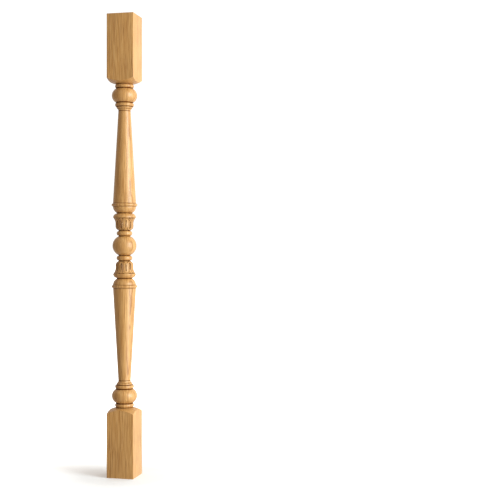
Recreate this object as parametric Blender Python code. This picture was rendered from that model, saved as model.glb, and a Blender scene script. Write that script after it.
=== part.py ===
"""A turned and carved oak baluster: one square length of wood, left square at both ends.

The two halves are alike. One half is drawn outwards from mid-height and mirrored, and the square
blank that the piece was turned from then cuts the shoulders. Lengths are in metres, +Z is up and
the underside lies on z = 0. An offset is a height measured outwards from mid-height.
"""

import math
from typing import NamedTuple

import bmesh
import bpy
from mathutils import Vector
from mathutils.geometry import delaunay_2d_cdt

MM = 0.001

# Blank
HEIGHT = 1000 * MM
SIDE = 60 * MM
BLOCK_LENGTH = 138 * MM

# Heights of the turned members, in order outwards from mid-height
BALL_HALF_HEIGHT = 20.7 * MM
NECK_HEIGHT = 0.8 * MM
COLLAR_HEIGHT = 10.7 * MM
CUP_ROUND_HEIGHT = 9.0 * MM
CUP_WAIST_HEIGHT = 6.2 * MM
CUP_FLARE_HEIGHT = 12.7 * MM
RIM_HEIGHT = 9.3 * MM
BOWL_HEIGHT = 14.3 * MM
RING_HEIGHT = 6.4 * MM
COVE_HEIGHT = 4.0 * MM
SMALL_BEAD_HEIGHT = 5.2 * MM
BEAD_HEIGHT = 7.8 * MM
QUIRK_HEIGHT = 1.2 * MM
BULB_HEIGHT = 30.0 * MM
SHOULDER_HEIGHT = 11.0 * MM

# Radii of the turned members
BALL_RADIUS = 25.9 * MM
NECK_RADIUS = 12.4 * MM
COLLAR_RADIUS = 17.0 * MM
CUP_RADIUS = 19.3 * MM
RIM_RADIUS = 24.8 * MM
RIM_NECK_RADIUS = 16.4 * MM
SHAFT_RADIUS = 25.0 * MM
RING_RADIUS = 28.0 * MM
SHAFT_END_RADIUS = 13.3 * MM
COVE_RADIUS = 14.7 * MM
SMALL_BEAD_RADIUS = 17.4 * MM
QUIRK_RADIUS = 18.3 * MM
BEAD_RADIUS = 20.5 * MM
BULB_RADIUS = 27.4 * MM

# How far the hollow, the small bead and the shoulder stand off the straight line between their ends
COVE_BULGE = -0.4 * MM
SMALL_BEAD_BULGE = 0.9 * MM
SHOULDER_BULGE = 1.6 * MM

# Carving round each cup: U shapes hung between arches, with a dart in each U and a spike in each arch
REPEATS = 6
SLOT_DEPTH = 3.0 * MM
SLOT_END_DEPTH = 0.4 * MM
FILLET_STEP = 0.6 * MM
BAND_EDGE_DEPTH = 0.3 * MM
SPIKE_DEPTH = 0.7 * MM
SPIKE_CUT_DEPTH = 0.7 * MM
DART_DEPTH = 1.9 * MM
DART_LIP_DEPTH = 0.15 * MM
DART_EDGE_DEPTH = 0.4 * MM

# Facets: how far an arc may stand off its chord, and the steps along the carving
MOST_SAG = 0.18 * MM
SIDES_PER_REPEAT = 5
SIDES = REPEATS * SIDES_PER_REPEAT
U_STEPS = 4
ARCH_STEPS = 5
SMALL_ARCH_STEPS = 3
DART_STEPS = 6
SPIKE_STEPS = 5

# Working margins: the turned body runs past the blank that cuts it, and points this close are one
OVERSIZE = 2 * MM
WELD = 0.001 * MM
MIRROR_WELD = 0.01 * MM
SHARP_ANGLE = math.radians(32)

CUP_HEIGHT = CUP_ROUND_HEIGHT + CUP_WAIST_HEIGHT + CUP_FLARE_HEIGHT
CUP_FOOT = BALL_HALF_HEIGHT + NECK_HEIGHT + COLLAR_HEIGHT + NECK_HEIGHT
CUP_BELLY = CUP_FOOT + CUP_ROUND_HEIGHT
CUP_WAIST = CUP_BELLY + CUP_WAIST_HEIGHT
CUP_RIM = CUP_FOOT + CUP_HEIGHT
HALF_PITCH = math.pi / REPEATS


class Line(NamedTuple):
    """One line of the carving: round under a U, up beside it and over the arch next to it.

    Across, 0 is the middle of the U and 1 the middle of the arch. Up, 0 is the cup's foot and 1
    its rim. Both ends are quarters of superellipses, squarer at a higher power.
    """

    bottom: float
    low_side: float
    low_power: float
    high_side: float
    high_power: float
    arch_height: float
    top: float


# The height at which every U is widest, then the lines in order outwards from the dart in its slot
U_CENTRE = 0.36
SLOT_FLOOR = Line(
    bottom=0.195, low_side=0.135, low_power=2.0, high_side=0.15, high_power=3.0, arch_height=0.455, top=0.98
)
SLOT_EDGE = Line(
    bottom=0.16, low_side=0.18, low_power=2.0, high_side=0.18, high_power=3.0, arch_height=0.44, top=0.965
)
FILLET_FOOT = Line(
    bottom=0.117, low_side=0.335, low_power=2.2, high_side=0.335, high_power=3.0, arch_height=0.39, top=0.925
)
BAND_EDGE = Line(
    bottom=0.045, low_side=0.80, low_power=2.3, high_side=0.885, high_power=2.0, arch_height=0.09, top=0.823
)
SPIKE_CUT = Line(
    bottom=0.022, low_side=0.85, low_power=2.3, high_side=0.91, high_power=2.0, arch_height=0.07, top=0.797
)

# The dart fills its slot but for a gap at each side, up to its lip under the rim
DART_TIP = 0.222
DART_LIP = 0.97
DART_LIP_HALF_WIDTH = 0.31
TIP_GAP = 0.125
LIP_GAP = 0.055

# The spike stands in its cut
SPIKE_FOOT = 0.06
SPIKE_TIP = 0.775


def on_upright_arc(upright, far, offset):
    """Radius at an offset on the arc that leaves upright along the axis and ends at far."""
    run = far[0] - upright[0]
    rise = far[1] - upright[1]
    arc_radius = (run**2 + rise**2) / (2 * abs(run))
    fallen = arc_radius - math.sqrt(arc_radius**2 - (offset - upright[1]) ** 2)
    return upright[0] + math.copysign(fallen, run)


def steps_of(arc_radius, sweep):
    """How many chords keep within the sag that a facet may have."""
    return math.ceil(sweep / (2 * math.acos(1 - min(1.0, MOST_SAG / arc_radius))))


def upright_arc(upright, far):
    """Outline points after upright on the arc that leaves it along the axis and ends at far."""
    run = far[0] - upright[0]
    rise = far[1] - upright[1]
    arc_radius = (run**2 + rise**2) / (2 * abs(run))
    sweep = 2 * math.atan2(abs(run), abs(rise))
    steps = steps_of(arc_radius, sweep)
    points = []
    for step in range(1, steps + 1):
        angle = sweep * step / steps
        out = math.copysign(arc_radius * (1 - math.cos(angle)), run)
        along = math.copysign(arc_radius * math.sin(angle), rise)
        points.append((upright[0] + out, upright[1] + along))
    return points


def bulged_arc(start, end, bulge):
    """Outline points after start on the arc to end that stands out from their chord by bulge."""
    chord = Vector(end) - Vector(start)
    middle = (Vector(start) + Vector(end)) / 2
    outward = Vector((chord.y, -chord.x)).normalized()
    arc_radius = (chord.length**2 / 4 + bulge**2) / (2 * abs(bulge))
    half_sweep = math.asin(chord.length / 2 / arc_radius)
    steps = steps_of(arc_radius, 2 * half_sweep)
    points = []
    for step in range(1, steps + 1):
        angle = half_sweep * (2 * step / steps - 1)
        along = arc_radius * math.sin(angle)
        out = arc_radius * (math.cos(angle) - math.cos(half_sweep))
        point = middle + chord.normalized() * along + outward * math.copysign(out, bulge)
        points.append(tuple(point))
    return points


def bead(start, height, crest_radius):
    """Outline points after start of a round moulding that comes back to the same radius."""
    crest = (crest_radius, start[1] + height / 2)
    end = (start[0], start[1] + height)
    rising = reversed(upright_arc(crest, start)[:-1])
    return [*rising, crest, *upright_arc(crest, end)]


def neck(start, height):
    """The one outline point after start of a short plain cylinder."""
    return [(start[0], start[1] + height)]


def inner_outline():
    """The plain turning between mid-height and the carved cup: half the ball, then the collar."""
    points = [(BALL_RADIUS, 0.0)]
    points += upright_arc(points[-1], (NECK_RADIUS, BALL_HALF_HEIGHT))
    points += neck(points[-1], NECK_HEIGHT)
    points += bead(points[-1], COLLAR_HEIGHT, COLLAR_RADIUS)
    points += neck(points[-1], NECK_HEIGHT)
    return points


def outer_outline():
    """The plain turning from the cup's rim to the end, wider than the blank along the block."""
    points = [(RIM_RADIUS, CUP_RIM)]
    points += upright_arc(points[-1], (RIM_NECK_RADIUS, CUP_RIM + RIM_HEIGHT))
    points += neck(points[-1], NECK_HEIGHT)
    ring_start = (SHAFT_RADIUS, points[-1][1] + BOWL_HEIGHT)
    bowl_downwards = [ring_start, *upright_arc(ring_start, points[-1])[:-1]]
    points += reversed(bowl_downwards)
    points += bead(points[-1], RING_HEIGHT, RING_RADIUS)

    corner = HEIGHT / 2 - BLOCK_LENGTH
    shoulder_start = corner - SHOULDER_HEIGHT
    beads = 2 * BEAD_HEIGHT + BULB_HEIGHT + 3 * QUIRK_HEIGHT
    shaft_end = shoulder_start - beads - SMALL_BEAD_HEIGHT - COVE_HEIGHT
    points.append((SHAFT_END_RADIUS, shaft_end))
    points += bulged_arc(points[-1], (COVE_RADIUS, shaft_end + COVE_HEIGHT), COVE_BULGE)
    small_bead_end = (SMALL_BEAD_RADIUS, points[-1][1] + SMALL_BEAD_HEIGHT)
    points += bulged_arc(points[-1], small_bead_end, SMALL_BEAD_BULGE)
    points.append((QUIRK_RADIUS, points[-1][1]))
    points += bead(points[-1], BEAD_HEIGHT, BEAD_RADIUS)
    points += neck(points[-1], QUIRK_HEIGHT)
    points += bead(points[-1], BULB_HEIGHT, BULB_RADIUS)
    points += neck(points[-1], QUIRK_HEIGHT)
    points += bead(points[-1], BEAD_HEIGHT, BEAD_RADIUS)
    points += neck(points[-1], QUIRK_HEIGHT)

    corner_radius = SIDE / math.sqrt(2)
    points += bulged_arc(points[-1], (corner_radius, corner), SHOULDER_BULGE)
    slope_out = points[-1][0] - points[-2][0]
    slope_up = points[-1][1] - points[-2][1]
    points.append((corner_radius + OVERSIZE, corner + OVERSIZE * slope_up / slope_out))
    points.append((corner_radius + OVERSIZE, HEIGHT / 2 + OVERSIZE))
    return points


def cup_radius(offset):
    """Radius of the turned cup at an offset, before it is carved."""
    if offset < CUP_BELLY:
        return on_upright_arc((CUP_RADIUS, CUP_BELLY), (NECK_RADIUS, CUP_FOOT), offset)
    if offset > CUP_WAIST:
        return on_upright_arc((CUP_RADIUS, CUP_WAIST), (RIM_RADIUS, CUP_RIM), offset)
    return CUP_RADIUS


def spike_depth(up):
    """Depth of a spike's ridge: it stays as straight as the waist while the cup flares over it."""
    flare = cup_radius(CUP_FOOT + up * CUP_HEIGHT) - CUP_RADIUS
    return SPIKE_DEPTH + max(0.0, flare)


def dart_depth(up):
    """Depth of a dart's ridge, which comes forward towards its lip."""
    share = (up - DART_TIP) / (1 - DART_TIP)
    return DART_DEPTH + (DART_LIP_DEPTH - DART_DEPTH) * share


def superellipse(power, turn):
    """(cosine, sine) stretched out to the superellipse, at a share of the quarter turn."""
    angle = math.pi / 2 * turn
    reach = (math.cos(angle) ** power + math.sin(angle) ** power) ** (-1 / power)
    return reach * math.cos(angle), reach * math.sin(angle)


def line_points(line, depth, arch_steps):
    """(across, up, depth) points of one line. depth takes the height and the share of the way over."""
    points = []
    for step in range(U_STEPS + 1):
        down, out = superellipse(line.low_power, step / U_STEPS)
        up = U_CENTRE - (U_CENTRE - line.bottom) * down
        points.append((line.low_side * out, up, depth(up, 0.0)))
    for step in range(arch_steps + 1):
        out, rise = superellipse(line.high_power, step / arch_steps)
        up = line.top - line.arch_height * (1 - rise)
        points.append((1 - (1 - line.high_side) * out, up, depth(up, step / arch_steps)))
    return points


def slot_half_width(up):
    """How far across the slot's edge lies at a height, up to the top of the arch."""
    spring = SLOT_EDGE.top - SLOT_EDGE.arch_height
    if up < U_CENTRE:
        fallen = (U_CENTRE - up) / (U_CENTRE - SLOT_EDGE.bottom)
        return SLOT_EDGE.low_side * (1 - fallen**SLOT_EDGE.low_power) ** (1 / SLOT_EDGE.low_power)
    if up < spring:
        share = (up - U_CENTRE) / (spring - U_CENTRE)
        return SLOT_EDGE.low_side + (SLOT_EDGE.high_side - SLOT_EDGE.low_side) * share
    risen = min(1.0, (up - spring) / SLOT_EDGE.arch_height)
    return 1 - (1 - SLOT_EDGE.high_side) * (1 - risen**SLOT_EDGE.high_power) ** (1 / SLOT_EDGE.high_power)


def dart_half_width(up):
    """How far across a dart's edge lies: within its slot, and then no wider than its lip."""
    share = (up - DART_TIP) / (DART_LIP - DART_TIP)
    gap = TIP_GAP + (LIP_GAP - TIP_GAP) * share
    return min(slot_half_width(up) - gap, DART_LIP_HALF_WIDTH)


def carving_lines():
    """Every line of the carving over half a repeat, from the middle of a U to that of an arch."""

    def slot_floor_depth(_up, over):
        return SLOT_DEPTH + (SLOT_END_DEPTH - SLOT_DEPTH) * over

    dart_edge = [(0.0, DART_TIP, dart_depth(DART_TIP))]
    dart_ridge = [dart_edge[0]]
    for step in range(1, DART_STEPS + 1):
        share = step / DART_STEPS
        up = DART_TIP + (DART_LIP - DART_TIP) * share
        dart_edge.append((dart_half_width(up), up, dart_depth(up) + DART_EDGE_DEPTH * (1 - share)))
        dart_ridge.append((0.0, up, dart_depth(up)))
    spike_ridge = []
    for step in range(SPIKE_STEPS + 1):
        up = SPIKE_FOOT + (SPIKE_TIP - SPIKE_FOOT) * step / SPIKE_STEPS
        spike_ridge.append((1.0, up, spike_depth(up)))
    return [
        dart_ridge,
        dart_edge,
        line_points(SLOT_FLOOR, slot_floor_depth, ARCH_STEPS),
        line_points(SLOT_EDGE, lambda _up, _over: 0.0, ARCH_STEPS),
        line_points(FILLET_FOOT, lambda _up, _over: FILLET_STEP, ARCH_STEPS),
        line_points(BAND_EDGE, lambda _up, _over: BAND_EDGE_DEPTH, SMALL_ARCH_STEPS),
        line_points(SPIKE_CUT, lambda up, _over: spike_depth(up) + SPIKE_CUT_DEPTH, SMALL_ARCH_STEPS),
        spike_ridge,
    ]


def carved_panel():
    """(points, triangles) of one repeat, from the middle of one U to that of the next."""
    points = []
    edges = []
    for line in carving_lines():
        for mirrored in (False, True):
            first = len(points)
            points += [(2 - across if mirrored else across, up, depth) for across, up, depth in line]
            edges += [(index, index + 1) for index in range(first, len(points) - 1)]
    for up in (0.0, 1.0):
        points += [(2 * side / SIDES_PER_REPEAT, up, 0.0) for side in range(SIDES_PER_REPEAT + 1)]
    flat = [
        Vector((across * HALF_PITCH * CUP_RADIUS / MM, up * CUP_HEIGHT / MM))
        for across, up, _depth in points
    ]
    _, _, triangles, sources, _, _ = delaunay_2d_cdt(flat, edges, [], 0, WELD / MM)
    return points, [[sources[corner][0] for corner in triangle] for triangle in triangles]


def place(angle, radius, offset):
    """A point of the turning. Angle 0 faces -Y and grows towards +X."""
    return Vector((radius * math.sin(angle), -radius * math.cos(angle), offset))


def add_turning(bm, outline):
    """Spins an outline all the way round the axis."""
    verts = [bm.verts.new(place(0, radius, offset)) for radius, offset in outline]
    edges = [bm.edges.new(pair) for pair in zip(verts, verts[1:])]
    bmesh.ops.spin(
        bm,
        geom=verts + edges,
        cent=(0, 0, 0),
        axis=(0, 0, 1),
        angle=2 * math.pi,
        steps=SIDES,
        use_merge=True,
    )


def add_carved_cup(bm):
    """Copies the carved panel all the way round the cup."""
    points, triangles = carved_panel()
    for repeat in range(REPEATS):
        verts = []
        for across, up, depth in points:
            offset = CUP_FOOT + up * CUP_HEIGHT
            angle = (across + 2 * repeat) * HALF_PITCH
            verts.append(bm.verts.new(place(angle, cup_radius(offset) - depth, offset)))
        for triangle in triangles:
            bm.faces.new([verts[corner] for corner in triangle])


def make_half_mesh():
    """The upper half of the turned and carved body, open at mid-height and closed at the end."""
    bm = bmesh.new()
    add_turning(bm, inner_outline())
    add_carved_cup(bm)
    add_turning(bm, outer_outline())
    bmesh.ops.remove_doubles(bm, verts=bm.verts, dist=WELD)
    above_middle = [edge for edge in bm.edges if edge.is_boundary and edge.verts[0].co.z > WELD]
    bmesh.ops.edgeloop_fill(bm, edges=above_middle)
    bmesh.ops.recalc_face_normals(bm, faces=bm.faces)
    mesh = bpy.data.meshes.new("baluster")
    bm.to_mesh(mesh)
    bm.free()
    return mesh


def linear_from_srgb(hex_colour):
    """A Principled colour, with alpha, from the six hex digits that a screen shows."""
    channels = [int(hex_colour[start : start + 2], 16) / 255 for start in (0, 2, 4)]
    linear = [c / 12.92 if c <= 0.04045 else ((c + 0.055) / 1.055) ** 2.4 for c in channels]
    return (*linear, 1.0)


def make_oak():
    """Light oak under a satin lacquer."""
    material = bpy.data.materials.new("oak")
    material.use_nodes = True
    shader = material.node_tree.nodes["Principled BSDF"]
    shader.inputs["Base Color"].default_value = linear_from_srgb("c39360")
    shader.inputs["Roughness"].default_value = 0.42
    shader.inputs["Metallic"].default_value = 0.0
    return material


def make_blank():
    """The square length of wood that bounds the whole piece, used only to cut it."""
    bm = bmesh.new()
    bmesh.ops.create_cube(bm, size=1.0)
    bmesh.ops.scale(bm, vec=(SIDE, SIDE, HEIGHT), verts=bm.verts)
    mesh = bpy.data.meshes.new("blank")
    bm.to_mesh(mesh)
    bm.free()
    blank = bpy.data.objects.new("blank", mesh)
    blank.location.z = HEIGHT / 2
    blank.hide_render = True
    blank.display_type = "WIRE"
    bpy.context.collection.objects.link(blank)
    return blank


def make_baluster(blank):
    mesh = make_half_mesh()
    mesh.materials.append(make_oak())
    mesh.shade_smooth()
    mesh.set_sharp_from_angle(angle=SHARP_ANGLE)
    baluster = bpy.data.objects.new("baluster", mesh)
    baluster.location.z = HEIGHT / 2
    bpy.context.collection.objects.link(baluster)

    other_half = baluster.modifiers.new("other half", "MIRROR")
    other_half.use_axis = (False, False, True)
    other_half.merge_threshold = MIRROR_WELD
    square_ends = baluster.modifiers.new("square ends", "BOOLEAN")
    square_ends.operation = "INTERSECT"
    square_ends.object = blank
    return baluster


def main():
    for old in list(bpy.data.objects):
        bpy.data.objects.remove(old, do_unlink=True)
    make_baluster(make_blank())


main()
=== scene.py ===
"""Visual model of a turned and carved oak baluster under satin lacquer, in a plain studio.

The two halves are alike, so sizes are given outwards from mid-height. An offset is a height
measured from there. Lengths are in metres and +Z is up.
"""

import math
from typing import NamedTuple

import bmesh
import bpy
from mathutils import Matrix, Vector
from mathutils.geometry import delaunay_2d_cdt

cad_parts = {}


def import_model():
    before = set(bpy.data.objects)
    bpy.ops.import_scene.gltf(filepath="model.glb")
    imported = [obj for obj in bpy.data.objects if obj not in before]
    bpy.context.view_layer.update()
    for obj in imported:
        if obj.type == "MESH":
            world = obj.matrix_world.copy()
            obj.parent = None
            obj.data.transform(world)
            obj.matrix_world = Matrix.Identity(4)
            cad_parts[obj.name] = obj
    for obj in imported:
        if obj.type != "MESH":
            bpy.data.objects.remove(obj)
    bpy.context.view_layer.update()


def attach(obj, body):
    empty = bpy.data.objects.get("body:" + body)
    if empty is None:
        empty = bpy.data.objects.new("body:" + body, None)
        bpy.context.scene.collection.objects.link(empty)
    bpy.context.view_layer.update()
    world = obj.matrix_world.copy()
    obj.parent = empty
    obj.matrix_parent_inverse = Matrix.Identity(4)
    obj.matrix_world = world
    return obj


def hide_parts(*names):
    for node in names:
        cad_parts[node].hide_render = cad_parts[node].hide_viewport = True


MM = 0.001

# Blank
HEIGHT = 1000 * MM
SIDE = 60 * MM
BLOCK_LENGTH = 138 * MM
EASED_EDGE = 0.7 * MM
EASED_END = 0.4 * MM

# Heights of the turned members, in order outwards from mid-height
BALL_HALF_HEIGHT = 20.7 * MM
NECK_HEIGHT = 0.8 * MM
COLLAR_HEIGHT = 10.7 * MM
CUP_ROUND_HEIGHT = 9.0 * MM
CUP_WAIST_HEIGHT = 6.2 * MM
CUP_FLARE_HEIGHT = 12.7 * MM
RIM_HEIGHT = 9.3 * MM
BOWL_HEIGHT = 14.3 * MM
RING_HEIGHT = 6.4 * MM
COVE_HEIGHT = 4.0 * MM
SMALL_BEAD_HEIGHT = 5.2 * MM
BEAD_HEIGHT = 7.8 * MM
QUIRK_HEIGHT = 1.2 * MM
BULB_HEIGHT = 30.0 * MM
SHOULDER_HEIGHT = 11.0 * MM

# Radii of the turned members
BALL_RADIUS = 25.9 * MM
NECK_RADIUS = 12.4 * MM
COLLAR_RADIUS = 17.0 * MM
CUP_RADIUS = 19.3 * MM
RIM_RADIUS = 24.8 * MM
RIM_NECK_RADIUS = 16.4 * MM
SHAFT_RADIUS = 25.0 * MM
RING_RADIUS = 28.0 * MM
SHAFT_END_RADIUS = 13.3 * MM
COVE_RADIUS = 14.7 * MM
SMALL_BEAD_RADIUS = 17.4 * MM
QUIRK_RADIUS = 18.3 * MM
BEAD_RADIUS = 20.5 * MM
BULB_RADIUS = 27.4 * MM

# How far the hollow, the small bead and the shoulder stand off the straight line between their ends
COVE_BULGE = -0.4 * MM
SMALL_BEAD_BULGE = 0.9 * MM
SHOULDER_BULGE = 1.6 * MM

# Repeats of the carving round a cup
REPEATS = 6

# Carving depths below the turned cup
SLOT_DEPTH = 3.2 * MM
SLOT_END_DEPTH = 0.5 * MM
SPIKE_DEPTH = 0.45 * MM
SPIKE_CUT_DEPTH = 1.1 * MM
SPIKE_EDGE = 0.16 * MM
DART_DEPTH = 0.75 * MM
DART_LIP_DEPTH = 0.3 * MM
LIP_BULGE = 0.55 * MM
LIP_FALL = 1.6 * MM
DART_EDGE_DROP = 0.6 * MM
DART_ROUNDING = 0.3 * MM
FOOT_QUIRK_DEPTH = 0.12 * MM

# Fineness of the mesh
MOST_SAG = 0.015 * MM
SIDES_PER_REPEAT = 18
SIDES = REPEATS * SIDES_PER_REPEAT
EDGE_SEGMENTS = 4
END_SEGMENTS = 2
CARVING_STEP = 0.45 * MM
FINE_STEPS = 150
OVERSIZE = 2 * MM
WELD = 0.002 * MM
SHARP_ANGLE = math.radians(38)

# The ring that an outline is swept round, only so that the sweep has a direction
LATHE_RING = 10 * MM

# Growth rings. A wave texture's own ring is WAVE_WIDTH wide. PITH moves the tree's middle onto the axis,
# and ALONG_RINGS runs across that way
WAVE_WIDTH = 2 * math.pi / 20
RING_WIDTH = 2.3 * MM
RING_WANDER = 9 * MM
RING_RIPPLE = 1.2
RING_RIPPLE_DETAIL = 2
RING_RIPPLE_SCALE = 0.3
PITH = (0.090, -0.064, 0)
ALONG_RINGS = (0.579, 0.815, 0)

# How closely the grain follows the surface of a turned member, 1 being wholly
GRAIN_FOLLOW = 0.88

# Share of the way from the start of a ring to the next, and how dark it is there
RING_DARKNESS = ((0.0, 1.0), (0.09, 0.8), (0.22, 0.15), (0.55, 0.0), (0.94, 0.08), (1.0, 0.7))

# Noises: stretch along each axis, spots a metre, detail and roughness. They are the wander of the rings,
# streaks 0.8 mm wide and 55 mm long, broad ones 6 mm wide, and pores. Real pores are 0.3 mm wide and
# some 20 mm long; they are drawn 1 mm wide and 50 mm long so that they show
WANDER = ((1, 1, 0.55), 14, 3, 0.5)
STREAKS = ((1, 0.5, 0.014), 1300, 2, 0.6)
BROAD_STREAKS = ((1, 0.6, 0.03), 160, 2, 0.5)
PORES = ((0.6, 0.8, 0.014), 1500, 1, 0.4)
BROAD_SHARE = 0.1

# Values of a noise: its middle, those from which a pore starts and is full, and those between which the
# broad streaks fade the rings from the first share to the second
NOISE_MIDDLE = (0.5, 0.5, 0.5)
PORE_EDGE = (0.54, 0.64)
BROAD_EDGE = (0.38, 0.62)
RING_SHARES = (0.8, 0.5)

# Colours, as a screen shows them, the share of the pores that keep to the starts of the rings, and how
# far the pores and the painted shade in the creases cover the wood. The crease colour is painted shade,
# a darker brown where the turning and the carving are hollow
WOOD_COLOURS = ((0.36, "b17b3e"), (0.5, "c89554"), (0.64, "d7a869"))
RING_COLOUR = "935c22"
PORE_COLOUR = "7c4412"
CREASE_SHADE_COLOUR = "502005"
IN_RINGS = 0.55
PORE_SHARE = 0.75
CREASE_SHADE_SHARE = 0.97

# Satin lacquer: rougher in the creases, where the painted shade also takes its sheen away, and sunk over
# the pores. Its roughness follows the streaks, between two values of their noise
LACQUER_IOR = 1.5
SHEEN = 0.6
ROUGHNESS = (0.36, 0.46)
ROUGHNESS_EDGE = (0.3, 0.7)
CREASE_ROUGHNESS = 0.5
PORE_SINK = 0.7
BUMP_STRENGTH = 0.3
BUMP_HEIGHT = 0.12 * MM

# Studio. The floor glows as painted light, from near the baluster outwards; its weaker glow near the foot
# leaves painted shade there, over the real shadow. The surround has a dim and a bright side
FLOOR_RADIUS = 30
FLOOR_SIDES = 96
FLOOR_COLOUR = "f4f4f4"
FLOOR_ROUGHNESS = 0.9
FLOOR_SHEEN = 0.1
FLOOR_GLOW = (0.07, 1.0)
FLOOR_GLOW_REACH = (0.09, 0.46)
BACKDROP_COLOUR = "ffffff"
BACKDROP_LIGHT = 1.1
SURROUND_COLOUR = "fffaf4"
SURROUND_LIGHT = (0.28, 1.35)
BRIGHT_SIDE = (0.72, 0.69, 0.0)
SOFTBOX_COLOUR = "ebf9ff"
SOFTBOX_SIZE = (1.5, 2.4)
SOFTBOX_POWER = 124
SOFTBOX_PLACE = (2.85, -0.9, 0.9)

# Camera
SENSOR = 36
LENS = 75.7
CAMERA_DISTANCE = 2.255
CAMERA_HEIGHT = 0.5015
CAMERA_AZIMUTH = math.radians(19.6)
LEFT_OF_MIDDLE = math.radians(6.67)

# How far out of the creases the painted shade lies full and reaches, the points that draw its fading, its
# power, and the least distance from those points to others
CREASE_FULL = 0.45 * MM
CREASE_REACH = 1.6 * MM
CREASE_STEPS = (CREASE_FULL, 0.9 * MM, CREASE_REACH)
CREASE_FADE = 1.5
LEAST_STEP = 0.25 * MM

# How much painted shade the creases get beside the ring, in the cut round a spike and its wall, at the
# foot of the spike's flank, at a dart's edge and top, and in the quirk at the cup's foot
RING_CREASE = 0.65
CUT_CREASE = 0.9
FLANK_CREASE = 0.95
DART_EDGE_CREASE = 0.3
DART_TOP_CREASE = 0.4
FOOT_QUIRK_CREASE = 0.6

CUP_HEIGHT = CUP_ROUND_HEIGHT + CUP_WAIST_HEIGHT + CUP_FLARE_HEIGHT
CUP_FOOT = BALL_HALF_HEIGHT + NECK_HEIGHT + COLLAR_HEIGHT + NECK_HEIGHT
CUP_BELLY = CUP_FOOT + CUP_ROUND_HEIGHT
CUP_WAIST = CUP_BELLY + CUP_WAIST_HEIGHT
CUP_RIM = CUP_FOOT + CUP_HEIGHT
HALF_PITCH = math.pi / REPEATS
SHOULDER_CORNER = HEIGHT / 2 - BLOCK_LENGTH
SHOULDER_START = SHOULDER_CORNER - SHOULDER_HEIGHT


def srgb(hex_colour):
    """A linear colour, with alpha, from the six hex digits that a screen shows."""
    channels = [int(hex_colour[start : start + 2], 16) / 255 for start in (0, 2, 4)]
    return (*(c / 12.92 if c <= 0.04045 else ((c + 0.055) / 1.055) ** 2.4 for c in channels), 1.0)


class Line(NamedTuple):
    """One line of the carving: round under a U, up beside it and over the arch next to it.

    Across, 0 is the middle of the U and 1 the middle of the arch. Up, 0 is the cup's foot and 1
    its rim. Both ends are quarters of superellipses, squarer at a higher power. Lean moves the
    arch's flank in towards the arch's middle before its corner.
    """

    bottom: float
    low_side: float
    low_power: float
    high_side: float
    high_power: float
    arch_height: float
    top: float
    lean: float = 0.0


# The height at which every U is widest, then the lines in order outwards from the dart in its slot
U_CENTRE = 0.36
SLOT_FLOOR = Line(
    bottom=0.172, low_side=0.165, low_power=2.0, high_side=0.13, high_power=3.8, arch_height=0.455,
    top=0.98, lean=0.5,
)
SLOT_EDGE = Line(
    bottom=0.15, low_side=0.197, low_power=2.0, high_side=0.148, high_power=3.8, arch_height=0.447,
    top=0.972, lean=0.5,
)
FILLET_FOOT = Line(
    bottom=0.117, low_side=0.335, low_power=2.2, high_side=0.335, high_power=3.4, arch_height=0.39,
    top=0.92, lean=0.2,
)
BAND_EDGE = Line(
    bottom=0.048, low_side=0.785, low_power=2.3, high_side=0.878, high_power=2.2, arch_height=0.045,
    top=0.775,
)
SPIKE_CUT = Line(
    bottom=0.022, low_side=0.84, low_power=2.3, high_side=0.912, high_power=2.2, arch_height=0.036,
    top=0.754,
)

# The dart fills its slot but for a gap at each side, up to its lip under the rim
DART_TIP = 0.222
DART_LIP = 0.97
DART_LIP_HALF_WIDTH = 0.28
LIP_CREST = 0.925
LIP_ROUND_HEIGHT = 0.03
LIP_TOP = 0.94
TIP_GAP = 0.128
LIP_GAP = 0.036
GAP_TAPER = 0.17

# The gap's foot lies a share of the way over the gap, within a reach, at a share of the slot's depth. It
# starts below the dart's tip and follows the slot only part of the way round its arch
GAP_FOOT_TIP = 0.2
GAP_FOOT_REACH = 0.025
GAP_FOOT_SHARE = 0.4
GAP_FOOT_DEPTH = 0.95
GAP_FOOT_TURN = 0.6

# The spike stands in its cut
SPIKE_FOOT = 0.03
SPIKE_TIP = 0.735
SPIKE_FLARE = 0.4
SPIKE_SPREAD = 0.3

# How far up the quirks at the cup's foot and under its rim lie
FOOT_QUIRK = 0.009
RIM_QUIRK = 0.988

# Sections of the strips between the lines: share of the way over, depth in mm, how much painted shade
# of the creases it takes
FILLET_SECTION = (
    (0.0, 0.58, 0.75), (0.05, 0.38, 0.35), (0.13, 0.18, 0.08), (0.26, 0.04, 0.0), (0.42, 0.0, 0.0),
    (0.6, 0.13, 0.02), (0.8, 0.4, 0.16), (0.95, 0.62, 0.4),
)
BAND_SECTION = (
    (0.0, 0.7, 0.48), (0.05, 0.74, 0.42), (0.12, 0.71, 0.32), (0.27, 0.57, 0.17), (0.45, 0.38, 0.06),
    (0.64, 0.22, 0.0), (0.8, 0.13, 0.0), (0.92, 0.14, 0.03), (0.975, 0.22, 0.25), (1.0, 0.34, 0.7),
)

# The same of the slot's wall, but with the depth as a share of the slot's
SLOT_WALL = ((0.0, 1.0, 1.0), (0.4, 0.6, 1.0), (0.8, 0.25, 0.85))

# Share of the way down the wall of the spike's cut at which it has a row. Rows on the spike's flank:
# distance in from the cut and the most share of the way. Rows on a dart: share of the way out to its edge
V_WALL = 0.5
SPIKE_ROWS = ((0.13 * MM, 0.2), (0.32 * MM, 0.45), (0.8 * MM, 0.7), (2.4 * MM, 0.88))
DART_ROWS = (0.0, 0.3, 0.6, 0.82, 1.0)
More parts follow.
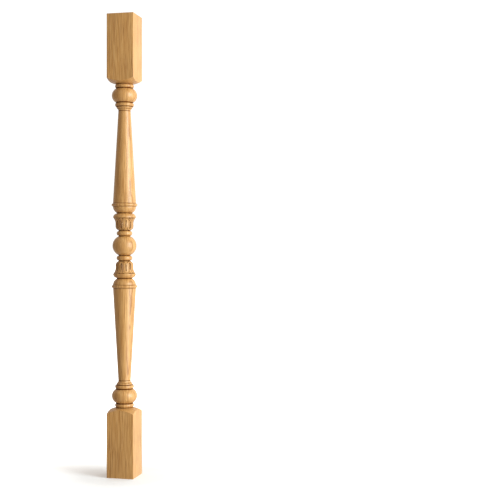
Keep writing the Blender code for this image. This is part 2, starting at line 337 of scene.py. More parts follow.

# Across, depth in mm and painted shade of the quirk under the rim. Then across, up, depth in mm and
# painted shade of the pocket beside each dart's lip
RIM_QUIRK_SECTION = (
    (0.0, 0.38, 0.12), (0.2, 0.48, 0.2), (0.29, 0.9, 0.6), (0.35, 0.95, 0.8), (0.42, 0.5, 0.4),
    (0.54, 0.18, 0.06), (0.68, 0.07, 0.0), (0.84, 0.05, 0.0), (1.0, 0.05, 0.0),
)
POCKET = (
    (0.31, 0.93, 1.6, 1.0), (0.335, 0.955, 1.8, 1.0), (0.38, 0.972, 1.2, 0.95), (0.45, 0.979, 0.6, 0.7),
)


def on_upright_arc(upright, far, offset):
    """Radius at an offset on the arc that leaves upright along the axis and ends at far."""
    run = far[0] - upright[0]
    rise = far[1] - upright[1]
    arc_radius = (run**2 + rise**2) / (2 * abs(run))
    fallen = arc_radius - math.sqrt(arc_radius**2 - (offset - upright[1]) ** 2)
    return upright[0] + math.copysign(fallen, run)


def along(length, steps, creased_ends):
    """(share, painted shade) of the points after a stretch's start. An end is 0 or 1."""
    close = [abs(end - reach / length) for end in creased_ends for reach in CREASE_STEPS if reach < length]
    even = [step / steps for step in range(1, steps)]
    even = [share for share in even if all(abs(share - other) * length > LEAST_STEP for other in close)]
    stretch = []
    for share in sorted([*even, *close, 1.0]):
        nearest = min((abs(share - end) * length for end in creased_ends), default=CREASE_REACH)
        left = max(0.0, CREASE_REACH - nearest) / (CREASE_REACH - CREASE_FULL)
        stretch.append((share, min(1.0, left) ** CREASE_FADE))
    return stretch


def steps_of(arc_radius, sweep):
    """How many chords keep within the sag that a facet may have."""
    return math.ceil(sweep / (2 * math.acos(1 - min(1.0, MOST_SAG / arc_radius))))


def upright_arc(upright, far, creased_ends=(1,)):
    """Outline points after upright on the arc that leaves it along the axis and ends at far."""
    run = far[0] - upright[0]
    rise = far[1] - upright[1]
    arc_radius = (run**2 + rise**2) / (2 * abs(run))
    sweep = 2 * math.atan2(abs(run), abs(rise))
    points = []
    for share, crease in along(arc_radius * sweep, steps_of(arc_radius, sweep), creased_ends):
        out = math.copysign(arc_radius * (1 - math.cos(sweep * share)), run)
        up = math.copysign(arc_radius * math.sin(sweep * share), rise)
        points.append((upright[0] + out, upright[1] + up, crease))
    return points


def bulged_arc(start, end, bulge, creased_ends=()):
    """Outline points after start on the arc to end that stands out from their chord by bulge."""
    start = Vector(start[:2])
    chord = Vector(end) - start
    middle = start + chord / 2
    outward = Vector((chord.y, -chord.x)).normalized()
    arc_radius = (chord.length**2 / 4 + bulge**2) / (2 * abs(bulge))
    half_sweep = math.asin(chord.length / 2 / arc_radius)
    points = []
    for share, crease in along(chord.length, steps_of(arc_radius, 2 * half_sweep), creased_ends):
        angle = half_sweep * (2 * share - 1)
        out = math.copysign(arc_radius * (math.cos(angle) - math.cos(half_sweep)), bulge)
        place = middle + chord.normalized() * arc_radius * math.sin(angle) + outward * out
        points.append((*place, crease))
    return points


def straight(start, end, creased_ends):
    """Outline points after start on the straight line to end."""
    length = math.dist(start[:2], end)
    return [(*between(start[:2], end, share), crease) for share, crease in along(length, 1, creased_ends)]


def bead(start, height, crest_radius):
    """Outline points after start of a round moulding that comes back to the same radius."""
    crest = (crest_radius, start[1] + height / 2, 0.0)
    end = (start[0], start[1] + height)
    return [*reversed(upright_arc(crest, start)[:-1]), crest, *upright_arc(crest, end)]


def neck(start, height):
    """The one outline point after start of a short plain cylinder, which takes the full painted shade of the
    creases.
    """
    return [(start[0], start[1] + height, 1.0)]


def inner_outline():
    """The plain turning between mid-height and the carved cup: half the ball, then the collar."""
    points = [(BALL_RADIUS, 0.0, 0.0)]
    points += upright_arc(points[-1], (NECK_RADIUS, BALL_HALF_HEIGHT))
    points += neck(points[-1], NECK_HEIGHT)
    points += bead(points[-1], COLLAR_HEIGHT, COLLAR_RADIUS)
    points += neck(points[-1], NECK_HEIGHT)
    return points


def outer_outline():
    """The plain turning from the cup's rim to where the shoulder starts."""
    points = [(RIM_RADIUS, CUP_RIM, 0.0)]
    points += upright_arc(points[-1], (RIM_NECK_RADIUS, CUP_RIM + RIM_HEIGHT))
    points += neck(points[-1], NECK_HEIGHT)
    ring_start = (SHAFT_RADIUS, points[-1][1] + BOWL_HEIGHT, 1.0)
    points += reversed([ring_start, *upright_arc(ring_start, points[-1], (0, 1))[:-1]])
    points += bead(points[-1], RING_HEIGHT, RING_RADIUS)
    ring_end = points[-1][1]

    beads = 2 * BEAD_HEIGHT + BULB_HEIGHT + 3 * QUIRK_HEIGHT
    shaft_end = SHOULDER_START - beads - SMALL_BEAD_HEIGHT - COVE_HEIGHT
    points += straight(points[-1], (SHAFT_END_RADIUS, shaft_end), (0, 1))
    points += bulged_arc(points[-1], (COVE_RADIUS, shaft_end + COVE_HEIGHT), COVE_BULGE)
    small_bead_end = (SMALL_BEAD_RADIUS, points[-1][1] + SMALL_BEAD_HEIGHT)
    points += bulged_arc(points[-1], small_bead_end, SMALL_BEAD_BULGE, (0, 1))
    points.append((QUIRK_RADIUS, points[-1][1], 1.0))
    points += bead(points[-1], BEAD_HEIGHT, BEAD_RADIUS)
    points += neck(points[-1], QUIRK_HEIGHT)
    points += bead(points[-1], BULB_HEIGHT, BULB_RADIUS)
    points += neck(points[-1], QUIRK_HEIGHT)
    points += bead(points[-1], BEAD_HEIGHT, BEAD_RADIUS)
    points += neck(points[-1], QUIRK_HEIGHT)

    # The creases beside the ring are shallow and take less painted shade
    near_ring = (ring_start[1] - CREASE_REACH - LEAST_STEP, ring_end + CREASE_REACH + LEAST_STEP)
    return [
        (radius, offset, crease * (RING_CREASE if near_ring[0] < offset < near_ring[1] else 1.0))
        for radius, offset, crease in points
    ]


def head_outline():
    """The shoulder and the block as turned before the blank bounds them, closed on the axis."""
    corner_radius = SIDE / math.sqrt(2)
    points = [(0.0, SHOULDER_START, 1.0), (QUIRK_RADIUS, SHOULDER_START, 1.0)]
    points += bulged_arc(points[-1], (corner_radius, SHOULDER_CORNER), SHOULDER_BULGE, (0,))
    slope_out = points[-1][0] - points[-2][0]
    slope_up = points[-1][1] - points[-2][1]
    points.append((corner_radius + OVERSIZE, SHOULDER_CORNER + OVERSIZE * slope_up / slope_out, 0.0))
    points.append((corner_radius + OVERSIZE, HEIGHT / 2 + OVERSIZE, 0.0))
    points.append((0.0, HEIGHT / 2 + OVERSIZE, 0.0))
    return points


def cup_radius(offset):
    """Radius of the turned cup at an offset, before it is carved."""
    if offset < CUP_BELLY:
        return on_upright_arc((CUP_RADIUS, CUP_BELLY), (NECK_RADIUS, CUP_FOOT), offset)
    if offset > CUP_WAIST:
        return on_upright_arc((CUP_RADIUS, CUP_WAIST), (RIM_RADIUS, CUP_RIM), offset)
    return CUP_RADIUS


def flat(across, up):
    """A place on the carving, laid out flat at its real size."""
    return Vector((across * HALF_PITCH * CUP_RADIUS, up * CUP_HEIGHT))


def superellipse(power, turn):
    """(cosine, sine) stretched out to the superellipse, at a share of the quarter turn."""
    angle = math.pi / 2 * turn
    reach = (math.cos(angle) ** power + math.sin(angle) ** power) ** (-1 / power)
    return reach * math.cos(angle), reach * math.sin(angle)


def on_line(line, way):
    """(across, up) on a line: way 0 is the U's bottom, 1 and 2 its sides' ends, 3 the arch's top."""
    spring = line.top - line.arch_height
    if way < 1:
        down, out = superellipse(line.low_power, way)
        return line.low_side * out, U_CENTRE - (U_CENTRE - line.bottom) * down
    if way < 2:
        side = line.low_side + (line.high_side - line.low_side) * (way - 1)
        return side, U_CENTRE + (spring - U_CENTRE) * (way - 1)
    out, rise = superellipse(line.high_power, way - 2)
    across = 1 - (1 - line.high_side) * out + line.lean * rise**2 * (1 - rise)
    return across, line.top - line.arch_height * (1 - rise)


def between(near, far, share):
    """The place a share of the way between two (across, up) places."""
    return tuple(a + (b - a) * share for a, b in zip(near, far))


def slot_floor_depth(way):
    """The slot is deepest beside the dart and runs out over the arch."""
    return SLOT_DEPTH + (SLOT_END_DEPTH - SLOT_DEPTH) * max(0.0, way - 2)


def spike_depth(up):
    """Depth of a spike's ridge, which follows the cup's flare only part of the way."""
    return SPIKE_DEPTH + SPIKE_FLARE * max(0.0, cup_radius(CUP_FOOT + up * CUP_HEIGHT) - CUP_RADIUS)


def spike_row(way, distance, most_share):
    """A point on a spike's flank, a distance in from its cut but no more than a share of the way."""
    cut = on_line(SPIKE_CUT, way)
    fall = SPIKE_SPREAD * cut[1] * max(0.0, 1 - cut[1] / U_CENTRE)
    ridge = (1.0, min(cut[1] - fall, SPIKE_TIP))
    width = (flat(*ridge) - flat(*cut)).length
    share = min(distance / width, most_share)
    across, up = between(cut, ridge, share)
    fallen = math.exp(-share * width / SPIKE_EDGE)
    return across, up, spike_depth(up) + SPIKE_CUT_DEPTH * fallen, FLANK_CREASE * math.sqrt(fallen)


def half_width(line, up):
    """How far across a line lies at a height, up to the top of the arch."""
    spring = line.top - line.arch_height
    if up < U_CENTRE:
        fallen = (U_CENTRE - up) / (U_CENTRE - line.bottom)
        return line.low_side * (1 - fallen**line.low_power) ** (1 / line.low_power)
    if up < spring:
        share = (up - U_CENTRE) / (spring - U_CENTRE)
        return line.low_side + (line.high_side - line.low_side) * share
    risen = min(1.0, (up - spring) / line.arch_height)
    out = (1 - risen**line.high_power) ** (1 / line.high_power)
    return 1 - (1 - line.high_side) * out + line.lean * risen**2 * (1 - risen)


def dart_gap(up):
    """Width of the gap between a dart and its slot's edge."""
    return max(LIP_GAP, TIP_GAP - GAP_TAPER * (up - DART_TIP))


def dart_half_width(up):
    """How far across a dart's edge lies: within its slot, and then no wider than its lip."""
    return min(half_width(SLOT_EDGE, up) - dart_gap(up), DART_LIP_HALF_WIDTH)


def dart_row(share, outward):
    """A point on a dart, by its share of the way up it and its share of the way out to its edge."""
    up = DART_TIP + (DART_LIP - DART_TIP) * share
    depth = DART_DEPTH + (DART_LIP_DEPTH - DART_DEPTH) * share
    depth += DART_EDGE_DROP * (1 - share) * outward**2 + DART_ROUNDING * outward**4
    depth -= LIP_BULGE * math.exp(-(((up - LIP_CREST) / LIP_ROUND_HEIGHT) ** 2)) * (1 - outward**2 / 2)
    fallen = (max(0.0, up - LIP_TOP) / (DART_LIP - LIP_TOP)) ** 2
    crease = max(DART_EDGE_CREASE * outward**4, DART_TOP_CREASE * fallen)
    return outward * dart_half_width(up), up, depth + LIP_FALL * fallen, crease


def gap_foot(share):
    """A point along the foot of the gap beside a dart."""
    up = DART_TIP + (DART_LIP - DART_TIP) * share
    spring = SLOT_FLOOR.top - SLOT_FLOOR.arch_height
    way = 2 + max(0.0, (up - spring) / SLOT_FLOOR.arch_height) ** 2 * GAP_FOOT_TURN
    edge = dart_half_width(up)
    foot = edge + min(GAP_FOOT_SHARE * (half_width(SLOT_FLOOR, up) - edge), GAP_FOOT_REACH)
    return foot, up, GAP_FOOT_DEPTH * slot_floor_depth(way), 1.0


def evenly_spaced(points):
    """Points a carving step apart along a row, ends kept."""
    runs = [(flat(*b[:2]) - flat(*a[:2])).length for a, b in zip(points, points[1:])]
    count = max(1, round(sum(runs) / CARVING_STEP))
    spacing = sum(runs) / count
    kept = [points[0]]
    gone = 0.0
    for run, a, b in zip(runs, points, points[1:]):
        while gone + run >= len(kept) * spacing and len(kept) < count:
            share = (len(kept) * spacing - gone) / run
            kept.append(tuple(u + (v - u) * share for u, v in zip(a, b)))
        gone += run
    return [*kept, points[-1]]


def carved_rows():
    """Every row of points of the carving, from the middle of a U to that of an arch."""
    ways = [3 * step / FINE_STEPS for step in range(FINE_STEPS + 1)]
    shares = [step / FINE_STEPS for step in range(FINE_STEPS + 1)]

    def strip(near, far, section, deep):
        for share, depth, crease in section:
            places = [between(on_line(near, way), on_line(far, way), share) for way in ways]
            yield [(*place, deep(way, depth), crease) for way, place in zip(ways, places)]

    rows = [*strip(SLOT_FLOOR, SLOT_EDGE, SLOT_WALL, lambda way, depth: depth * slot_floor_depth(way))]
    rows += strip(SLOT_EDGE, FILLET_FOOT, FILLET_SECTION, lambda way, depth: depth * MM)
    rows += strip(FILLET_FOOT, BAND_EDGE, BAND_SECTION, lambda way, depth: depth * MM)
    cut = [on_line(SPIKE_CUT, way) for way in ways]
    wall = [between(on_line(BAND_EDGE, way), place, V_WALL) for way, place in zip(ways, cut)]
    for share, places in ((V_WALL, wall), (1.0, cut)):
        depths = [share * (spike_depth(up) + SPIKE_CUT_DEPTH) for _across, up in places]
        rows.append([(*place, depth, CUT_CREASE) for place, depth in zip(places, depths)])
    rows += [[spike_row(way, *row) for way in ways] for row in SPIKE_ROWS]
    spike = [SPIKE_FOOT + (SPIKE_TIP - SPIKE_FOOT) * share for share in shares]
    rows.append([(1.0, up, spike_depth(up), 0.0) for up in spike])

    rows += [[dart_row(share, outward) for share in shares] for outward in DART_ROWS]
    below_tip = (0.0, GAP_FOOT_TIP, GAP_FOOT_DEPTH * SLOT_DEPTH, 1.0)
    rows.append([below_tip, *(gap_foot(share) for share in shares)])
    rows.append([(across, RIM_QUIRK, depth * MM, crease) for across, depth, crease in RIM_QUIRK_SECTION])
    rows.append([(across, up, depth * MM, crease) for across, up, depth, crease in POCKET])
    rows.append([(across, FOOT_QUIRK, FOOT_QUIRK_DEPTH, FOOT_QUIRK_CREASE) for across in (0.0, 1.0)])
    return [evenly_spaced(row) for row in rows]


def in_scene(name, data):
    """An object of some data, linked into the scene."""
    made = bpy.data.objects.new(name, data)
    bpy.context.scene.collection.objects.link(made)
    return made


def new_object(name, points, edges, faces):
    """An object of (place, painted shade) points, whose mesh carries how much painted shade of the creases
    each takes.
    """
    mesh = bpy.data.meshes.new(name)
    mesh.from_pydata([place for place, _crease_shade in points], edges, faces)
    crease_shades = [crease for _place, crease in points]
    # Each point's share of painted shade, a darker brown in the creases
    mesh.attributes.new("crease", "FLOAT", "POINT").data.foreach_set("value", crease_shades)
    return in_scene(name, mesh)


def chained(rows):
    """The points of all rows, and the edges that join each row's points in a chain."""
    points = []
    edges = []
    for row in rows:
        edges += [(index, index + 1) for index in range(len(points), len(points) + len(row) - 1)]
        points += row
    return points, edges


def make_panel():
    """Half a repeat of the carving. Its U's middle faces -Y, and it reaches round towards +X."""
    points, edges = chained(carved_rows())
    ring_steps = SIDES_PER_REPEAT // 2
    for up, crease in ((0.0, 1.0), (1.0, 0.0)):
        points += [(side / ring_steps, up, 0.0, crease) for side in range(ring_steps + 1)]
    laid_out = [flat(across, up) / MM for across, up, _depth, _crease_shade in points]
    _, _, triangles, sources, _, _ = delaunay_2d_cdt(laid_out, edges, [], 0, WELD / MM)
    placed = []
    for across, up, depth, crease in points:
        offset = CUP_FOOT + up * CUP_HEIGHT
        radius = cup_radius(offset) - depth
        angle = across * HALF_PITCH
        placed.append(((radius * math.sin(angle), -radius * math.cos(angle), offset), crease))
    faces = [[sources[corner][0] for corner in triangle] for triangle in triangles]
    return new_object("carved_half_repeat", placed, [], faces)


def make_outline(name, *outlines):
    """Outlines as open chains of edges: X is the radius and Z the offset."""
    points, edges = chained(outlines)
    return new_object(name, [((radius, 0.0, offset), crease) for radius, offset, crease in points], edges, [])


def as_mesh(name, bm):
    """A mesh from a bmesh, which is freed."""
    mesh = bpy.data.meshes.new(name)
    bm.to_mesh(mesh)
    bm.free()
    return mesh


def ease(bm, edges, width, segments):
    """Rounds edges over a width."""
    bmesh.ops.bevel(bm, geom=edges, offset=width, segments=segments, profile=0.5, affect="EDGES")


def make_blank():
    """The square length of wood, its long edges and its ends eased, from below mid-height up."""
    bm = bmesh.new()
    bmesh.ops.create_cube(bm, size=1.0)
    bmesh.ops.scale(bm, vec=(SIDE, SIDE, HEIGHT), verts=bm.verts)
    long_edges = [edge for edge in bm.edges if abs(edge.verts[0].co.z - edge.verts[1].co.z) > MM]
    ease(bm, long_edges, EASED_EDGE, EDGE_SEGMENTS)
    top = [edge for edge in bm.edges if all(vert.co.z > HEIGHT / 2 - WELD for vert in edge.verts)]
    ease(bm, top, EASED_END, END_SEGMENTS)
    return in_scene("blank", as_mesh("blank", bm))


def add(tree, kind, sockets=None, **settings):
    """Adds a node, applies its settings, and fills its sockets with values or with links."""
    node = tree.nodes.new(kind)
    for name, value in settings.items():
        setattr(node, name, value)
    for key, value in (sockets or {}).items():
        for one in value if isinstance(value, list) else [value]:
            if isinstance(one, bpy.types.NodeSocket):
                tree.links.new(one, node.inputs[key])
            else:
                node.inputs[key].default_value = one
    return node


def maths(tree, operation, *values):
    """The result of a maths operation on values or sockets."""
    return add(tree, "ShaderNodeMath", dict(enumerate(values)), operation=operation).outputs[0]


def mapped(tree, value, span, target):
    """A value taken from one span to another, and held at its ends."""
    ends = {"From Min": span[0], "From Max": span[1], "To Min": target[0], "To Max": target[1]}
    return add(tree, "ShaderNodeMapRange", {"Value": value, **ends}).outputs[0]


def ramp(tree, value, stops):
    """The colour of a value between stops, which are (value, colour) in order."""
    node = add(tree, "ShaderNodeValToRGB", {"Fac": value})
    for position, _colour in stops[1:-1]:
        node.color_ramp.elements.new(position)
    for element, (position, colour) in zip(node.color_ramp.elements, stops):
        element.position = position
        element.color = colour
    return node.outputs["Color"]


def noise(tree, place, stretch, scale, detail, roughness):
    """A noise over places that are stretched along each axis."""
    stretched = add(tree, "ShaderNodeMapping", {"Vector": place, "Scale": stretch}).outputs[0]
    look = {"Vector": stretched, "Scale": scale, "Detail": detail, "Roughness": roughness}
    return add(tree, "ShaderNodeTexNoise", look).outputs


def covered(tree, under, share, hex_colour):
    """A colour over a share of what lies under it."""
    sockets = {"Factor": share, "A": under, "B": srgb(hex_colour)}
    return add(tree, "ShaderNodeMix", sockets, data_type="RGBA").outputs["Result"]


def new_tree(name, **sockets):
    """A geometry node tree with an input for each named socket and one geometry output."""
    tree = bpy.data.node_groups.new(name, "GeometryNodeTree")
    for socket, kind in sockets.items():
        tree.interface.new_socket(socket, in_out="INPUT", socket_type=f"NodeSocket{kind}")
    tree.interface.new_socket("geometry", in_out="OUTPUT", socket_type="NodeSocketGeometry")
    return tree


def turning_tree():
    """Sweeps an outline round a small ring about the axis, which turns it as a lathe would."""
    tree = new_tree("turning", outline="Object", sides="Int", ring_radius="Float", weld="Float")
    given = add(tree, "NodeGroupInput").outputs
    chain = add(tree, "GeometryNodeObjectInfo", {"Object": given["outline"]})
    curve = add(tree, "GeometryNodeMeshToCurve", {"Mesh": chain.outputs["Geometry"]})
    place = add(tree, "GeometryNodeInputPosition")
    split = add(tree, "ShaderNodeSeparateXYZ", {"Vector": place.outputs["Position"]})
    out = maths(tree, "SUBTRACT", split.outputs["X"], given["ring_radius"])
    down = maths(tree, "MULTIPLY", split.outputs["Z"], -1.0)
    section = add(tree, "ShaderNodeCombineXYZ", {"X": out, "Y": down})
    profile = add(
        tree, "GeometryNodeSetPosition", {"Geometry": curve.outputs[0], "Position": section.outputs[0]}
    )
    ring = add(
        tree,
        "GeometryNodeCurvePrimitiveCircle",
        {"Resolution": given["sides"], "Radius": given["ring_radius"]},
    )
    swept = add(
        tree, "GeometryNodeCurveToMesh", {"Curve": ring.outputs["Curve"], "Profile Curve": profile.outputs[0]}
    )
    outward = add(tree, "GeometryNodeFlipFaces", {"Mesh": swept.outputs[0]})
    poles = add(
        tree, "GeometryNodeMergeByDistance", {"Geometry": outward.outputs[0], "Distance": given["weld"]}
    )
    add(tree, "NodeGroupOutput", {"geometry": poles.outputs[0]})
    return tree


def baluster_tree():
    """Turns the plain members, squares the block, repeats the carving and mirrors the half."""
    tree = new_tree(
        "turned_and_carved_baluster",
        plain_outline="Object",
        head_outline="Object",
        blank="Object",
        carved_half_repeat="Object",
        repeats="Int",
        sides="Int",
        mid_height="Float",
        shoulder_start="Float",
        crease_reach="Float",
        ring_radius="Float",
        weld="Float",
        finish="Material",
    )
    given = add(tree, "NodeGroupInput").outputs
    turning = turning_tree()
    shared = {name: given[name] for name in ("sides", "ring_radius", "weld")}
    plain = add(
        tree, "GeometryNodeGroup", {"outline": given["plain_outline"], **shared}, node_tree=turning
    )

    # The head's flat end, where the shoulder starts, is left out so that the last quirk runs into it
    head = add(tree, "GeometryNodeGroup", {"outline": given["head_outline"], **shared}, node_tree=turning)
    blank = add(tree, "GeometryNodeObjectInfo", {"Object": given["blank"]})
    squared = add(
        tree,
        "GeometryNodeMeshBoolean",
        {"Mesh 2": [head.outputs[0], blank.outputs["Geometry"]]},
        operation="INTERSECT",
        solver="EXACT",
    )
    place = add(tree, "GeometryNodeInputPosition")
    split = add(tree, "ShaderNodeSeparateXYZ", {"Vector": place.outputs["Position"]})
    above = maths(tree, "SUBTRACT", split.outputs["Z"], given["shoulder_start"])

    # The points that the squaring makes lie past the quirk and take no painted shade from it
    past_quirk = maths(tree, "GREATER_THAN", above, given["crease_reach"])
    uncreased = add(
        tree,
        "GeometryNodeStoreNamedAttribute",
        {"Geometry": squared.outputs["Mesh"], "Selection": past_quirk, "Name": "crease", "Value": 0.0},
        data_type="FLOAT",
        domain="POINT",
    )
    flat_end = maths(tree, "LESS_THAN", above, given["weld"])
    open_head = add(
        tree,
        "GeometryNodeDeleteGeometry",
        {"Geometry": uncreased.outputs[0], "Selection": flat_end},
        domain="FACE",
    )

    # A half repeat and its mirror image make one repeat, which is copied round the cup
    carved = add(tree, "GeometryNodeObjectInfo", {"Object": given["carved_half_repeat"]}).outputs["Geometry"]
    mirrored = add(tree, "GeometryNodeTransform", {"Geometry": carved, "Scale": (-1, 1, 1)})
    turned_out = add(tree, "GeometryNodeFlipFaces", {"Mesh": mirrored.outputs[0]})
    repeat = add(tree, "GeometryNodeJoinGeometry", {"Geometry": [carved, turned_out.outputs[0]]})
    points = add(tree, "GeometryNodePoints", {"Count": given["repeats"]})
    number = add(tree, "GeometryNodeInputIndex")
    pitch = maths(tree, "DIVIDE", 2 * math.pi, given["repeats"])
    turn = maths(tree, "MULTIPLY", number.outputs[0], pitch)
    about_axis = add(tree, "ShaderNodeCombineXYZ", {"Z": turn})
    cup = add(
        tree,
        "GeometryNodeInstanceOnPoints",
        {"Points": points.outputs[0], "Instance": repeat.outputs[0], "Rotation": about_axis.outputs[0]},
    )
    cup_mesh = add(tree, "GeometryNodeRealizeInstances", {"Geometry": cup.outputs[0]})

    parts = [plain.outputs[0], cup_mesh.outputs[0], open_head.outputs[0]]
    half = add(tree, "GeometryNodeJoinGeometry", {"Geometry": parts}).outputs[0]
    lower = add(tree, "GeometryNodeTransform", {"Geometry": half, "Scale": (1, 1, -1)})
    lower_out = add(tree, "GeometryNodeFlipFaces", {"Mesh": lower.outputs[0]})
    both = add(tree, "GeometryNodeJoinGeometry", {"Geometry": [half, lower_out.outputs[0]]})
    closed = add(
        tree, "GeometryNodeMergeByDistance", {"Geometry": both.outputs[0], "Distance": given["weld"]}
    )
    rise = add(tree, "ShaderNodeCombineXYZ", {"Z": given["mid_height"]})
    standing = add(
        tree, "GeometryNodeTransform", {"Geometry": closed.outputs[0], "Translation": rise.outputs[0]}
    )
    whole = add(tree, "GeometryNodeRealizeInstances", {"Geometry": standing.outputs[0]})
    finished = add(
        tree, "GeometryNodeSetMaterial", {"Geometry": whole.outputs[0], "Material": given["finish"]}
    )
    add(tree, "NodeGroupOutput", {"geometry": finished.outputs[0]})
    return tree


def make_baluster(finish):
    """Runs the tree on the outlines, the blank and the carving, and keeps its result as a plain mesh."""
    sources = {
        "plain_outline": make_outline("plain_outline", inner_outline(), outer_outline()),
        "head_outline": make_outline("head_outline", head_outline()),
        "blank": make_blank(),
        "carved_half_repeat": make_panel(),
    }
    values = {
        "repeats": REPEATS,
        "sides": SIDES,
        "mid_height": HEIGHT / 2,
        "shoulder_start": SHOULDER_START,
        "crease_reach": CREASE_REACH,
        "ring_radius": LATHE_RING,
        "weld": WELD,
        "finish": finish,
    }
    grown = in_scene("grown", bpy.data.meshes.new("grown"))
    modifier = grown.modifiers.new("turned and carved", "NODES")
    modifier.node_group = baluster_tree()
    for item in modifier.node_group.interface.items_tree:
        if item.in_out == "INPUT":
            modifier[item.identifier] = {**sources, **values}[item.name]
    mesh = bpy.data.meshes.new_from_object(grown.evaluated_get(bpy.context.evaluated_depsgraph_get()))
    for scaffold in (grown, *sources.values()):
        bpy.data.objects.remove(scaffold)
    mesh.name = "carved_baluster"
    mesh.shade_smooth()
    mesh.set_sharp_from_angle(angle=SHARP_ANGLE)
    return in_scene("carved_baluster", mesh)


def make_oak():
    """Light oak, turned, sanded and sprayed with satin lacquer.

    Growth rings cross it in gently curved sheets, with a band of open pores at the start of each.
    The eye sees long streaks along the grain, short brown pore dashes, nested ovals where a round
    member cuts the sheets, and a soft sheen. The quirks and the carving get painted shade, a darker brown,
    and lose their sheen with it.
    """
    material = bpy.data.materials.new("satin_lacquered_oak")
    material.use_nodes = True
    tree = material.node_tree
    shader = tree.nodes["Principled BSDF"]
    place = add(tree, "ShaderNodeTexCoord").outputs["Object"]

    # Where a member is turned the grain keeps to its surface, and only partly to the straight blank
    flat_place = add(tree, "ShaderNodeVectorMath", {0: place, 1: (1, 1, 0)}, operation="MULTIPLY")
    radius = add(tree, "ShaderNodeVectorMath", {0: flat_place.outputs[0]}, operation="LENGTH")
    height = add(tree, "ShaderNodeSeparateXYZ", {"Vector": place}).outputs["Z"]
    offset = maths(tree, "ABSOLUTE", maths(tree, "SUBTRACT", height, HEIGHT / 2))
    follow = maths(tree, "MULTIPLY", maths(tree, "LESS_THAN", offset, SHOULDER_START), GRAIN_FOLLOW)
    spread = maths(tree, "POWER", maths(tree, "DIVIDE", SHAFT_RADIUS, radius.outputs["Value"]), follow)
    followed = add(
        tree, "ShaderNodeVectorMath", {0: flat_place.outputs[0], "Scale": spread}, operation="SCALE"
    ).outputs[0]

    # The tree's middle lay outside the blank; its rings wander a little along the length
    sideways = noise(tree, place, *WANDER)["Color"]
    sideways = add(tree, "ShaderNodeVectorMath", {0: sideways, 1: NOISE_MIDDLE}, operation="SUBTRACT")
    wandered = add(
        tree,
        "ShaderNodeVectorMath",
        {0: sideways.outputs[0], 1: (RING_WANDER, RING_WANDER, 0), 2: followed},
        operation="MULTIPLY_ADD",
    ).outputs[0]
    from_pith = add(
        tree, "ShaderNodeMapping", {"Vector": wandered, "Location": PITH, "Scale": (1, 1, 0)}
    ).outputs[0]
    rings = add(
        tree,
        "ShaderNodeTexWave",
        {
            "Vector": from_pith,
            "Scale": WAVE_WIDTH / RING_WIDTH,
            "Distortion": RING_RIPPLE,
            "Detail": RING_RIPPLE_DETAIL,
            "Detail Scale": RING_RIPPLE_SCALE,
        },
        wave_type="RINGS",
        rings_direction="Z",
        wave_profile="SAW",
    )
    greys = [(share, (grey, grey, grey, 1)) for share, grey in RING_DARKNESS]
    ring_dark = ramp(tree, rings.outputs["Fac"], greys)

    # The wood's own directions: out from the middle of the tree, along its rings, and along the grain
    outwards = add(tree, "ShaderNodeVectorMath", {0: from_pith}, operation="LENGTH").outputs["Value"]
    around = add(tree, "ShaderNodeVectorMath", {0: followed, 1: ALONG_RINGS}, operation="DOT_PRODUCT")
    wood_place = add(
        tree, "ShaderNodeCombineXYZ", {"X": outwards, "Y": around.outputs["Value"], "Z": height}
    ).outputs[0]
    fine = noise(tree, wood_place, *STREAKS)["Fac"]
    broad = noise(tree, wood_place, *BROAD_STREAKS)["Fac"]
    pores = mapped(tree, noise(tree, wood_place, *PORES)["Fac"], PORE_EDGE, (0.0, 1.0))
    pore = maths(tree, "MULTIPLY", pores, maths(tree, "MULTIPLY_ADD", ring_dark, IN_RINGS, 1 - IN_RINGS))

    streak = add(tree, "ShaderNodeMix", {"Factor": BROAD_SHARE, 2: fine, 3: broad}).outputs[0]
    wood = ramp(tree, streak, [(share, srgb(colour)) for share, colour in WOOD_COLOURS])
    ring_share = maths(tree, "MULTIPLY", ring_dark, mapped(tree, broad, BROAD_EDGE, RING_SHARES))
    wood = covered(tree, wood, ring_share, RING_COLOUR)
    wood = covered(tree, wood, maths(tree, "MULTIPLY", pore, PORE_SHARE), PORE_COLOUR)
    # Painted shade: the creases of the turning and the carving are coloured a darker brown
    crease = add(tree, "ShaderNodeAttribute", attribute_name="crease").outputs["Fac"]
    wood = covered(tree, wood, maths(tree, "MULTIPLY", crease, CREASE_SHADE_SHARE), CREASE_SHADE_COLOUR)
    tree.links.new(wood, shader.inputs["Base Color"])

    rough = mapped(tree, fine, ROUGHNESS_EDGE, ROUGHNESS)
    rough = maths(tree, "MULTIPLY_ADD", crease, CREASE_ROUGHNESS, rough)
    tree.links.new(rough, shader.inputs["Roughness"])
    # The sheen goes with the painted shade in the creases
    tree.links.new(mapped(tree, crease, (0.0, 1.0), (SHEEN, 0.0)), shader.inputs["Specular IOR Level"])
    shader.inputs["IOR"].default_value = LACQUER_IOR

    sunk = maths(tree, "MULTIPLY_ADD", pore, -PORE_SINK, fine)
    bump = add(
        tree, "ShaderNodeBump", {"Height": sunk, "Strength": BUMP_STRENGTH, "Distance": BUMP_HEIGHT}
    )
    tree.links.new(bump.outputs[0], shader.inputs["Normal"])
    return material


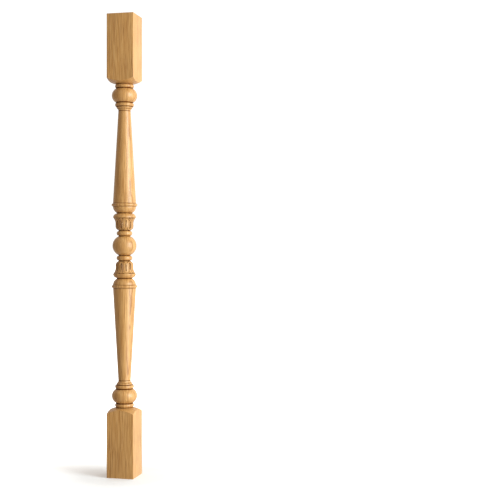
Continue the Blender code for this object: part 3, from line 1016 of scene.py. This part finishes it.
def make_studio():
    """A white floor, a surround that is brighter to the right, and one large soft light from there.

    The floor glows as painted light, more away from the baluster, so that it meets the white surround
    without a line. Its weaker glow near the foot leaves painted shade there, over the real shadow.
    """
    scene = bpy.context.scene
    scene.view_settings.view_transform = "Standard"

    paint = bpy.data.materials.new("matt_white_floor")
    paint.use_nodes = True
    shader = paint.node_tree.nodes["Principled BSDF"]
    shader.inputs["Base Color"].default_value = srgb(FLOOR_COLOUR)
    shader.inputs["Roughness"].default_value = FLOOR_ROUGHNESS
    shader.inputs["Specular IOR Level"].default_value = FLOOR_SHEEN
    shader.inputs["Emission Color"].default_value = srgb(BACKDROP_COLOUR)
    tree = paint.node_tree
    place = add(tree, "ShaderNodeTexCoord").outputs["Object"]
    distance = add(tree, "ShaderNodeVectorMath", {0: place}, operation="LENGTH").outputs["Value"]
    # Painted light: the floor glows, least near the foot, where it leaves painted shade over the real shadow
    tree.links.new(mapped(tree, distance, FLOOR_GLOW_REACH, FLOOR_GLOW), shader.inputs["Emission Strength"])
    bm = bmesh.new()
    bmesh.ops.create_circle(bm, cap_ends=True, segments=FLOOR_SIDES, radius=FLOOR_RADIUS)
    floor = in_scene("floor", as_mesh("floor", bm))
    floor.data.materials.append(paint)
    floor.visible_diffuse = floor.visible_glossy = floor.visible_shadow = False

    world = bpy.data.worlds.new("studio")
    world.use_nodes = True
    tree = world.node_tree
    seen = add(tree, "ShaderNodeLightPath")
    direction = add(tree, "ShaderNodeTexCoord").outputs["Generated"]
    towards = add(tree, "ShaderNodeVectorMath", {0: direction, 1: BRIGHT_SIDE}, operation="DOT_PRODUCT")
    light = mapped(tree, towards.outputs["Value"], (-1.0, 1.0), SURROUND_LIGHT)
    surround = add(tree, "ShaderNodeBackground", {"Color": srgb(SURROUND_COLOUR), "Strength": light})
    backdrop = add(
        tree, "ShaderNodeBackground", {"Color": srgb(BACKDROP_COLOUR), "Strength": BACKDROP_LIGHT}
    )
    mixed = add(
        tree,
        "ShaderNodeMixShader",
        {0: seen.outputs["Is Camera Ray"], 1: surround.outputs[0], 2: backdrop.outputs[0]},
    )
    tree.links.new(mixed.outputs[0], tree.nodes["World Output"].inputs["Surface"])
    scene.world = world

    softbox = bpy.data.lights.new("softbox", "AREA")
    softbox.shape = "RECTANGLE"
    softbox.size, softbox.size_y = SOFTBOX_SIZE
    softbox.energy = SOFTBOX_POWER
    softbox.color = srgb(SOFTBOX_COLOUR)[:3]
    lamp = in_scene("softbox", softbox)
    lamp.location = SOFTBOX_PLACE
    aim = Vector((0, 0, HEIGHT / 2)) - Vector(SOFTBOX_PLACE)
    lamp.rotation_euler = aim.to_track_quat("-Z", "Y").to_euler()
    lamp.visible_camera = False


def make_camera():
    """Level with mid-height. It sees the -Y face broad and the +X face narrow, left of the middle."""
    camera_data = bpy.data.cameras.new("camera")
    camera_data.lens = LENS
    camera_data.sensor_width = SENSOR
    camera = in_scene("camera", camera_data)
    camera.location = (
        CAMERA_DISTANCE * math.sin(CAMERA_AZIMUTH),
        -CAMERA_DISTANCE * math.cos(CAMERA_AZIMUTH),
        CAMERA_HEIGHT,
    )
    camera.rotation_euler = (math.pi / 2, 0, CAMERA_AZIMUTH - LEFT_OF_MIDDLE)
    bpy.context.scene.camera = camera


def main():
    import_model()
    make_camera()
    baluster = make_baluster(make_oak())
    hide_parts("baluster")
    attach(baluster, "root")
    make_studio()


main()
